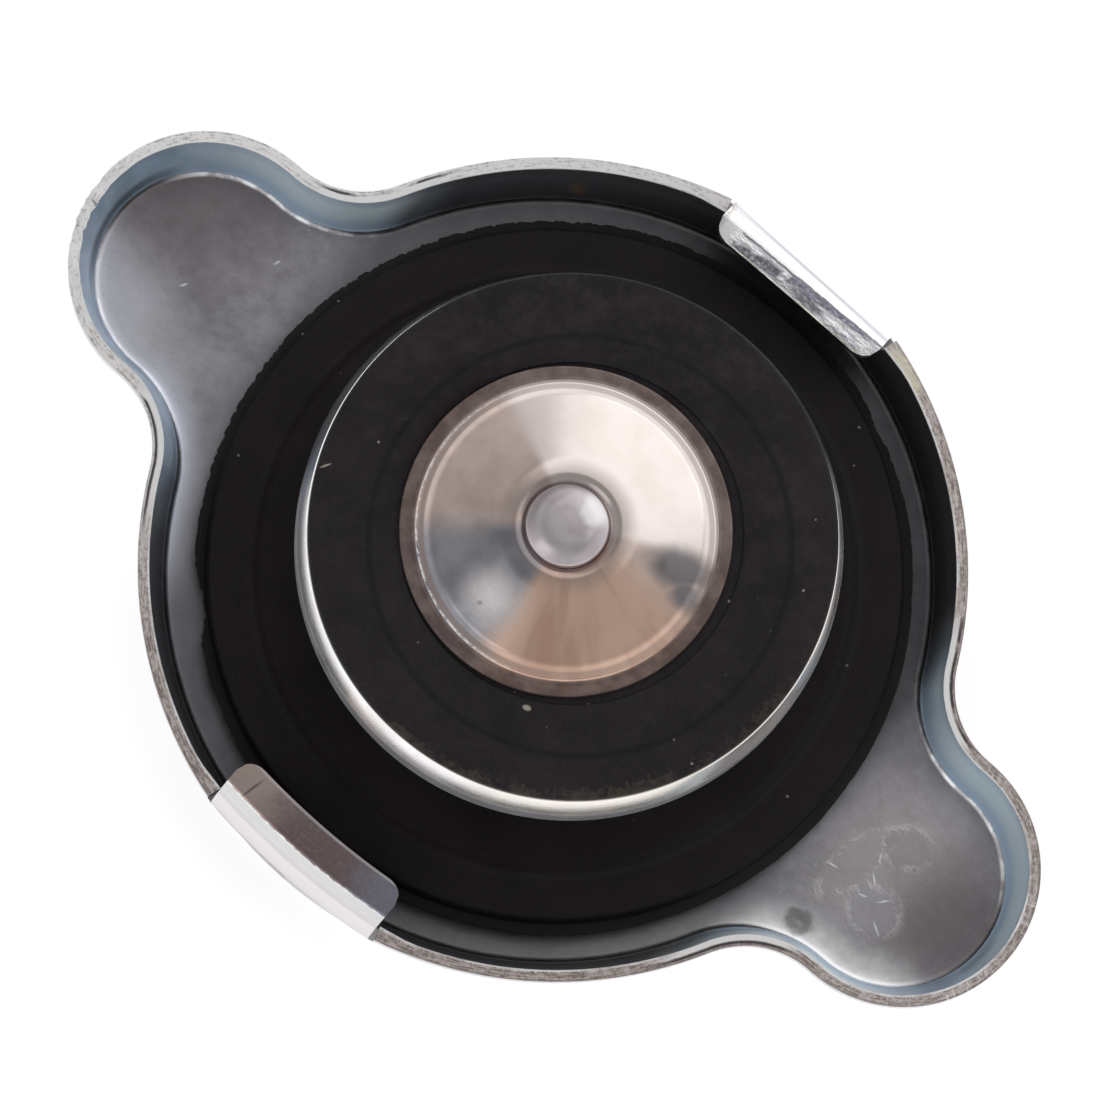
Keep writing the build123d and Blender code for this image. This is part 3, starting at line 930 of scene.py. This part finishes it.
def paint_upper_tab(f, tab):
    """A bend painted white as a highlight, a crack, and a dented flat beyond it painted with the
    light and shade of its dents; gives back how it is crinkled.
    """
    past_crack = 20.47 + f.x * 0.023 - f.y + f.ragged
    beyond = f.between(past_crack, -0.02, 0.05) * f.between(f.x + f.ragged * 4, -4.6, -4.2)
    step = f.band(f.y + f.x * 0.032, 21.16, 21.34, 0.05)
    fold = f.noise(f.vector(f.x * 0.6, f.y * 1.2), 1.3, 4.0, 0.6)
    grains = f.between(f.noise(f.vector(f.x, f.y), 5.0, 4.0, 0.75), 0.36, 0.60)
    # Painted light and shade of the crinkled flat: a pale mottle, with dark and white patches for
    # the dents.
    pressed = f.mix(f.between(fold, 0.35, 0.65), (0.86, 0.86, 0.91), (1.0, 1.0, 1.0))
    for middle, size, turn, tint in (((-2.4, 19.78, 6.9), (2.2, 0.34, 1), 9, (0.13, 0.12, 0.15)),
                                     ((1.9, 20.36, 6.9), (3.3, 0.26, 1), 2, (0.20, 0.19, 0.27)),
                                     ((0.9, 19.85, 6.9), (1.2, 0.36, 1), 0, (0.22, 0.22, 0.25)),
                                     ((3.6, 19.55, 6.9), (1.3, 0.30, 1), 5, (0.50, 0.50, 0.56)),
                                     ((-0.9, 20.15, 6.9), (0.22, 0.45, 1), -25, (0.97, 0.97, 1.0)),
                                     ((3.1, 20.15, 6.9), (1.5, 0.14, 1), 4, (1.0, 1.0, 1.0))):
        dent = f.spot(middle, size, turn, 0.35, 0.8, 1.4) * (0.6 + grains * 0.38)
        pressed = f.mix(dent, pressed, tint)
    crack = f.band(past_crack, -0.05, 0.06, 0.03) * f.between(f.x + f.ragged * 4, -4.3, -3.9)
    left_end = f.fall(f.x, -5.45, -5.15) * f.between(f.grain, 0.35, 0.6)
    lip = f.fall(f.y - f.x * 0.01, 19.48, 19.60)
    # Painted highlight: the tab is painted near-white over its bend.
    f.paint(tab, (0.98, 0.97, 0.99))
    for share, tint in ((step * 0.55, (0.50, 0.48, 0.56)), (beyond, pressed),
                        (crack * 0.6, (0.22, 0.21, 0.27)), (left_end * 0.6, (0.42, 0.37, 0.27)),
                        (lip * 0.7, (0.80, 0.77, 0.68))):
        f.paint(tab * share, tint)
    return tab * beyond * fold - tab * crack * 0.3


def paint_lower_tab(f, tab):
    """A bend painted white as a highlight and a brushed brown flat; gives back the white part of
    the bend.
    """
    depth = shell_radius - 0.33 - f.x * f.x * 0.0115 + f.y
    # Painted highlight: the bend is painted white.
    f.paint(tab, f.mix(f.between(depth, 0.55, 0.85), (0.76, 0.715, 0.725), (1.0, 1.0, 1.0)))
    along = f.between(f.x + f.mottle * 3 - 1.5, -4.5, -1.0)
    taupe = f.mix(along, (0.50, 0.40, 0.36), (0.22, 0.165, 0.17))
    brushed = f.noise(f.vector(f.x * 0.8, f.y), 5.0, 5.0, 0.75)
    scratch = f.spot((-4.3, -20.0, 7.0), (0.07, 0.7, 1), -12, 0.5, 0.3, 3.0)
    for share, tint in ((f.between(f.x + f.mottle * 2 - 1, 2.0, 4.4), (0.26, 0.255, 0.31)),
                        (f.between(brushed, 0.45, 0.75) * 0.35, (0.52, 0.47, 0.47)),
                        (scratch * 0.7, (0.10, 0.085, 0.08)),
                        (f.between(depth, 2.94, 2.99) * 0.6, (0.72, 0.69, 0.69))):
        taupe = f.mix(share, taupe, tint)
    f.paint(tab * f.between(depth + f.ragged, 1.20, 1.28), taupe)
    return tab * f.between(depth, 0.65, 0.9) * f.fall(depth, 1.18, 1.26)


def paint_scuffs(f):
    """Rubbed patches, scratch ticks painted white as glints, a smudge and a spot of rust; gives
    back the ridges of the patches.
    """
    wobble = (f.mottle - 0.5) * 1.1 + (f.grain - 0.5) * 0.06
    ridge = 0.0
    for middle, size, turn, tint in (((22.7, -0.9, 0.8), (1.1, 2.9, 3), -10, (0.43, 0.375, 0.375)),
                                     ((25.2, -2.2, 0.8), (1.7, 1.5, 3), 0, (0.40, 0.39, 0.44)),
                                     ((24.4, 1.6, 0.8), (1.5, 1.3, 3), 20, (0.36, 0.31, 0.31))):
        away = f.offset(middle, size, turn) + wobble
        inside = f.fall(away, 0.6, 1.1)
        edge = f.band(away, 0.84, 1.06, 0.14) * f.between(f.mottle, 0.42, 0.60)
        f.paint(inside * 0.5, tint)
        f.paint(edge * 0.35, (0.68, 0.66, 0.67))
        ridge = edge + inside * 0.5 + ridge
    # Scratches, painted white as glints.
    for middle, length, turn in (((21.9, -1.7, 0.8), 0.32, 10), ((24.2, -1.9, 0.8), 0.25, 20),
                                 ((25.3, -1.4, 0.8), 0.32, 50), ((25.95, -2.8, 0.8), 0.4, -30),
                                 ((23.6, 0.3, 0.8), 0.26, -60), ((24.1, -0.8, 0.8), 0.3, -40),
                                 ((-22.57, 3.4, 0.8), 0.2, 70), ((-25.6, -0.9, 0.8), 0.22, 60)):
        tick = f.spot(middle, (length, 0.05, 0.5), turn, 0.5, 0.7, 4.0)
        f.paint(tick * 0.65, (0.95, 0.95, 0.95))
    smudge = f.offset((22.5, -5.3, 0.8), (0.85, 0.65, 2), 30) + (f.mottle - 0.5) * 2.0
    f.paint(f.band(smudge, 0.25, 1.0, 0.35) * 0.6, (0.035, 0.038, 0.042))
    f.paint(f.between(smudge, 0.1, 0.7, 0.5, 0.0), (0.22, 0.23, 0.24))
    rust = f.spot((-12.6, 16.8, 2.5), (0.5, 0.5, 1.0), 0, 0.6, 0.5, 2.0)
    f.paint(rust * 0.7, (0.30, 0.17, 0.08))
    return ridge


def black_rubber(name, shade, dust):
    """Moulded rubber with fine grain and a dusting of pale specks."""
    f = Finish(name, Specular_IOR_Level=0.18)
    cloud = f.noise(f.where, 0.25, 4.0, 0.6)
    grain = f.noise(f.where, 5.0, 4.0, 0.65)
    f.colour = f.mix(f.between(cloud * 0.5 + grain * 0.5, 0.35, 0.65), shade,
                     tuple(c * 1.7 + 0.002 for c in shade))
    few = f.between(f.noise(f.where, 0.8, 1.0), 0.50, 0.58)
    f.paint(f.specks(0.75, 0.04, 0.075) * few * dust, (0.30, 0.28, 0.25))
    f.set("Roughness", 0.5 + grain * 0.2)
    f.set("Normal", f.bump(grain, 0.02))
    return f


def gasket_rubber():
    f = black_rubber("gasket_rubber", (0.0065, 0.0045, 0.0048), 0.6)
    flash = f.between(f.radius, 18.95, 19.15) * f.fall(f.z, 2.4, 2.9)
    f.paint(flash * 0.6, (0.020, 0.018, 0.018))
    # Painted highlight on one side of the bead.
    ring = f.band(f.radius, 16.2, 16.8, 0.25) * f.towards(20, 60, 30)
    f.paint(ring * 0.5, (0.022, 0.020, 0.020))
    f.set("Base Color", f.colour)
    return f


def seal_rubber():
    f = black_rubber("seal_rubber", (0.011, 0.009, 0.0105), 0.9)
    dust_and_sheen = f.noise(f.where, 0.6, 5.0, 0.7)
    upper = f.towards(120, 80, 60)
    f.paint(f.between(dust_and_sheen, 0.42, 0.75) * (0.2 + upper * 0.4), (0.040, 0.035, 0.039))
    imprint = f.band(f.offset((0.9, -0.2, 19.3), (11.2, 11.2, 50)), 0.985, 1.015, 0.01)
    f.paint(imprint * 0.5, (0.004, 0.003, 0.004))
    # Painted highlight along one side of the outer edge.
    edge = f.between(f.radius, 13.8, 13.98) * f.towards(150, 70, 30)
    f.paint(edge * f.between(dust_and_sheen, 0.3, 0.6) * 0.4, (0.06, 0.055, 0.055))
    grit = f.noise(f.where, 3.0, 4.0, 0.7)
    tan = f.between(f.radius + (grit - 0.5) * 2.2, 13.65, 13.95) * f.towards(-50, 55, 25)
    f.paint(tan * f.between(dust_and_sheen, 0.42, 0.62) * 0.35, (0.12, 0.095, 0.07))
    hair = f.spot((-12.0, -5.85, 19.3), (0.3, 0.05, 0.5), 60, 0.4)
    chip = f.spot((4.4, -8.6, 19.3), (0.22, 0.14, 0.5), 20, 0.4, 0.5, 3.0)
    f.paint(hair.most(chip) * 0.8, (0.42, 0.38, 0.32))
    f.set("Base Color", f.colour)
    return f


def bright_cup():
    """Bright drawn steel: the crimp is painted near-white as a highlight, the straight wall below
    it is greyer.
    """
    f = Finish("bright_plate")
    lines = f.noise(f.vector(f.radius, 0.0, f.z), 6.0, 3.0, 0.7)
    cloud = f.noise(f.where, 0.5, 4.0, 0.6)
    f.colour = f.mix(f.between(cloud, 0.35, 0.7), (1.0, 0.99, 0.99), (0.88, 0.85, 0.84))
    # Painted warm reflection on one side.
    warm = f.towards(-20, 45, 20)
    f.paint(warm * 0.5, (0.93, 0.84, 0.72))
    straight = f.fall(f.z, 16.0, 16.7)
    f.paint(straight, f.mix(cloud, (0.30, 0.29, 0.31), (0.50, 0.49, 0.51)))
    foot = f.band(f.z, 13.98, 14.28, 0.06)
    f.paint(foot, (0.82, 0.82, 0.84))
    marks = f.spot((-5.3, -13.1, 15.6), (0.7, 0.6, 0.8), 0, 0.4, 1.4, 2.4)
    nick = f.spot((14.5, -3.0, 15.8), (0.3, 0.25, 0.3), 0, 0.3)
    f.paint(marks.most(nick) * 0.6, (0.15, 0.13, 0.13))
    # Painted shade: the crimp is painted near-black round the far arc, all but its top edge.
    lit_edge = f.between(f.z, 18.42, 18.5)
    dark_arc = f.towards(133, 77, 7) * (1 - lit_edge)
    f.paint(dark_arc * 0.95, (0.02, 0.018, 0.02))
    f.set("Metallic", 1.0 - straight * 0.55)
    return f.done(0.14 + cloud * 0.12 + straight * 0.1, f.bump(lines, 0.004))


def polished_disc():
    """Polished disc with painted reflections: warm low down, slate grey on the left, cream above, a
    pale blob and a dark patch; painted shade in the dimple and the groove.
    """
    f = Finish("polished_disc", Metallic=1.0)
    wisp = f.noise(f.where, 0.4, 3.0, 0.5)
    rays = f.noise(f.vector(f.x / f.radius, f.y / f.radius, f.radius * 0.04), 3.2, 3.0, 0.55)
    f.colour = f.mix(f.between(wisp, 0.3, 0.7), (0.56, 0.45, 0.41), (0.74, 0.60, 0.54))
    # Painted reflections: copper low down, slate on the left, a pale blob, cream above and a dark
    # patch.
    copper = f.mix(f.between(rays, 0.38, 0.62), (0.64, 0.41, 0.32), (0.80, 0.56, 0.44))
    f.paint(f.towards(-42, 46, 16), copper)
    slate = f.mix(f.between(wisp, 0.35, 0.65), (0.25, 0.25, 0.28), (0.37, 0.365, 0.395))
    f.paint(f.towards(-113, 26, 9), slate)
    blob = f.spot((-0.75, -5.4, 20.2), (1.35, 1.2, 3), 0, 0.85, 0.3, 1.0)
    f.paint(blob * 0.85, (0.84, 0.79, 0.79))
    cream = f.mix(f.between(wisp, 0.4, 0.7), (0.93, 0.835, 0.795), (0.87, 0.775, 0.735))
    f.paint(f.towards(92, 64, 5), cream)
    patch = f.spot((5.7, 2.2, 20.2), (1.8, 1.05, 3), 28, 0.5, 0.5, 0.6).most(
        f.spot((6.9, 1.35, 20.2), (0.9, 0.8, 3), 0, 0.6, 0.5, 0.6))
    f.paint(patch * 0.9, f.mix(f.between(wisp, 0.4, 0.6), (0.09, 0.085, 0.09), (0.21, 0.205, 0.22)))
    # Painted shade in the dimple round the button.
    dimple = f.fall(f.radius, 2.5, 3.7)
    f.paint(dimple * 0.6, (0.30, 0.25, 0.24))
    off_centre = f.length(f.vector(f.x - disc_play[0], f.y - disc_play[1]))
    rim = f.between(off_centre, 7.95, 8.1)
    tarnish = f.noise(f.vector(f.x, f.y), 0.9, 3.0, 0.55)
    brown = f.mix(f.between(tarnish, 0.35, 0.65), (0.12, 0.085, 0.076), (0.20, 0.15, 0.137))
    brown = f.mix(f.between(off_centre, 8.78, 8.9) * 0.7, brown, (0.45, 0.39, 0.37))
    f.paint(rim * 0.94, brown)
    # Painted shade in the groove, darker on one side, and a dashed painted highlight beside it on
    # that side.
    left_arc = f.towards(-140, 60, 20)
    groove = f.band(off_centre, 7.55, 7.86, 0.06)
    f.paint(groove * (0.45 + left_arc * 0.35), (0.24, 0.19, 0.175))
    line = f.band(off_centre, 7.87, 7.97, 0.03) * left_arc
    dashes = f.noise(f.where, 4.0, 2.0)
    f.paint(line * f.between(dashes, 0.42, 0.58), (0.85, 0.78, 0.75))
    dent = f.spot((-1.05, -6.15, 20.0), (0.2, 0.15, 0.5), 20, 0.5)
    f.paint(dent * 0.8, (0.08, 0.07, 0.07))
    scratch = f.noise(f.vector(f.radius * 3, f.x * 0.3, f.y * 0.3), 4.0, 3.0, 0.7)
    return f.done(0.15 + wisp * 0.12 + rim * 0.2, f.bump(scratch, 0.002, f.bump(wisp, 0.012)))


def stem_steel():
    """Brushed head of the stem, with a painted highlight on its dome and painted shade where it
    meets the disc.
    """
    f = Finish("stem_steel", Metallic=1.0)
    wisp = f.noise(f.where, 0.7, 2.0, 0.5)
    f.colour = f.mix(f.between(wisp, 0.35, 0.65), (0.50, 0.45, 0.47), (0.60, 0.55, 0.57))
    # Painted highlight: a white wedge on the dome.
    wedge = f.towards(70, 30, 12) * f.between(f.radius, 0.3, 0.8)
    f.paint(wedge * 0.6, (0.92, 0.90, 0.90))
    # Painted shade round the head's edge on one side.
    edge = f.between(f.radius, 1.75, 2.15) * f.towards(150, 70, 30)
    f.paint(edge * 0.7, (0.16, 0.14, 0.14))
    return f.done(0.22 + wisp * 0.12, f.bump(f.noise(f.where, 1.2, 2.0, 0.5), 0.004))


def plated_steel():
    """Plain zinc plate on the pressings inside."""
    f = Finish("plated_steel", Metallic=1.0)
    cloud = f.noise(f.where, 0.6, 4.0, 0.6)
    f.colour = f.mix(f.between(cloud, 0.35, 0.65), (0.55, 0.55, 0.56), (0.70, 0.69, 0.67))
    return f.done(0.26 + cloud * 0.16, f.bump(f.noise(f.where, 4.0, 3.0, 0.6), 0.008))


def spring_steel():
    """Drawn wire and rolled strip, darker, with a trace of oil stain."""
    f = Finish("spring_steel", Metallic=1.0)
    cloud = f.noise(f.where, 0.8, 4.0, 0.6)
    stain = f.between(cloud, 0.4, 0.7)
    f.colour = f.mix(stain, (0.46, 0.45, 0.44), (0.30, 0.265, 0.235))
    return f.done(0.28 + cloud * 0.2, f.bump(f.noise(f.where, 5.0, 3.0, 0.6), 0.006))


# Camera and light

def place_camera():
    """The photograph looks down on the cap, turned 41 degrees and leaning a little."""
    picture = 1110
    pixels_per_mm = 18.49
    rim_centre = Vector((554, 567.2))
    distance = 560
    turn, lean, lean_side = math.radians(41), math.radians(8.6), math.radians(66)
    right = Vector((math.cos(turn), math.sin(turn), 0))
    up = Vector((-math.sin(turn), math.cos(turn), 0))
    tilt = math.cos(lean_side) * right + math.sin(lean_side) * up
    across = -math.sin(lean_side) * right + math.cos(lean_side) * up
    vertical = Vector((0, 0, 1))
    back = math.cos(lean) * vertical - math.sin(lean) * tilt
    flat = math.cos(lean) * tilt + math.sin(lean) * vertical
    screen_right = math.cos(lean_side) * flat - math.sin(lean_side) * across
    screen_up = math.sin(lean_side) * flat + math.cos(lean_side) * across
    target = (vertical * shell_rim + screen_right * (picture / 2 - rim_centre.x) / pixels_per_mm
              + screen_up * (rim_centre.y - picture / 2) / pixels_per_mm)
    data = bpy.data.cameras.new("camera")
    data.sensor_width = 36
    data.lens = 36 * distance * pixels_per_mm / picture
    data.clip_start, data.clip_end = 0.01, 10
    camera = bpy.data.objects.new("camera", data)
    bpy.context.scene.collection.objects.link(camera)
    camera.location = (target + back * distance) * mm
    facing = camera.matrix_world.to_3x3()
    facing.col[0], facing.col[1], facing.col[2] = screen_right, screen_up, back
    camera.rotation_mode = "QUATERNION"
    camera.rotation_quaternion = facing.to_quaternion()
    bpy.context.scene.camera = camera


def softbox(name, azimuth, height, distance, size, power):
    """A square lamp that faces the cap; azimuth 0 is towards +X."""
    lamp = bpy.data.lights.new(name, "AREA")
    lamp.shape = "SQUARE"
    lamp.size = size
    lamp.energy = power
    holder = bpy.data.objects.new(name, lamp)
    bpy.context.scene.collection.objects.link(holder)
    a, e = math.radians(azimuth), math.radians(height)
    away = Vector((math.cos(a) * math.cos(e), math.sin(a) * math.cos(e), math.sin(e)))
    holder.location = away * distance
    holder.rotation_mode = "QUATERNION"
    holder.rotation_quaternion = away.to_track_quat("Z", "Y")


def studio():
    """White paper under a soft tent: bright low down, greyer overhead."""
    bpy.context.scene.view_settings.view_transform = "Standard"
    bpy.ops.object.select_all(action="DESELECT")
    bpy.ops.mesh.primitive_grid_add(x_subdivisions=4, y_subdivisions=4, size=3,
                                    location=(0, 0, -0.03 * mm))
    floor = bpy.context.object
    floor.name = "studio_floor"
    paper = Finish("pale_paper", Base_Color=(0.75, 0.75, 0.75, 1), Roughness=0.9,
                   Specular_IOR_Level=0.0, Emission_Color=(1, 1, 1, 1))
    rays = paper.node("ShaderNodeLightPath")
    seen = [Wire(paper, rays.socket.node.outputs[ray])
            for ray in ("Is Camera Ray", "Is Glossy Ray", "Is Transmission Ray")]
    paper.set("Emission Strength", (seen[0] + seen[1] + seen[2]).least(1.0) * 0.6)
    give(floor, paper)
    world = bpy.data.worlds.new("studio")
    bpy.context.scene.world = world
    world.use_nodes = True
    tree = world.node_tree
    direction = tree.nodes.new("ShaderNodeTexCoord")
    split = tree.nodes.new("ShaderNodeSeparateXYZ")
    tree.links.new(direction.outputs["Generated"], split.inputs[0])
    height = tree.nodes.new("ShaderNodeMapRange")
    height.interpolation_type = "SMOOTHSTEP"
    for socket, value in (("From Min", 0.15), ("From Max", 0.95),
                          ("To Min", 0.90), ("To Max", 0.42)):
        height.inputs[socket].default_value = value
    tree.links.new(split.outputs["Z"], height.inputs["Value"])
    tree.nodes["Background"].inputs["Color"].default_value = (1, 1, 1, 1)
    tree.links.new(height.outputs["Result"], tree.nodes["Background"].inputs["Strength"])
    softbox("window", 88, 50, 0.9, 1.0, 1.6)
    softbox("fill", -98, 45, 0.9, 0.4, 0.32)


# The cap

def dress(piece, body, finish, slot, *nodes):
    give(piece, finish)
    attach(piece, body)
    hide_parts(*nodes)


place_camera()
zinc = zinc_shell()
plated, sprung, disc_steel = plated_steel(), spring_steel(), polished_disc()
dress(cap_shell(), "shell", zinc, "zinc_shell", "cap_shell")
dress(neck_gasket(), "valve_unit", gasket_rubber(), "gasket_rubber", "neck_gasket")
dress(valve_plate(), "pressure_valve", bright_cup(), "bright_plate", "valve_plate")
dress(pressure_seal(), "pressure_valve", seal_rubber(), "seal_rubber", "pressure_seal")
dress(vacuum_disc(), "vacuum_valve", disc_steel, "polished_disc", "vacuum_disc")
dress(vacuum_stem(), "vacuum_valve", stem_steel(), "polished_disc", "vacuum_stem")

main_coil = coil("pressure_spring_coil", "pressure_spring", 1.6, 3.5)
dress(main_coil, "valve_unit", sprung, "spring_steel", "pressure_spring")
light_coil = coil("vacuum_spring_coil", "vacuum_spring", 0.3, 5.0)
dress(light_coil, "pressure_valve", sprung, "spring_steel", "vacuum_spring")
for piece, node, joint, fixed in ((main_coil, "pressure_spring", "pressure_valve_lift", 0),
                                  (light_coil, "vacuum_spring", "vacuum_valve_open", 1)):
    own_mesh(piece)
for name in ("centre_rivet", "spring_seat", "valve_post", "catch_sleeve", "stem_retainer"):
    give(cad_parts[name], plated)
give(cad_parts["friction_disc"], sprung)

studio()
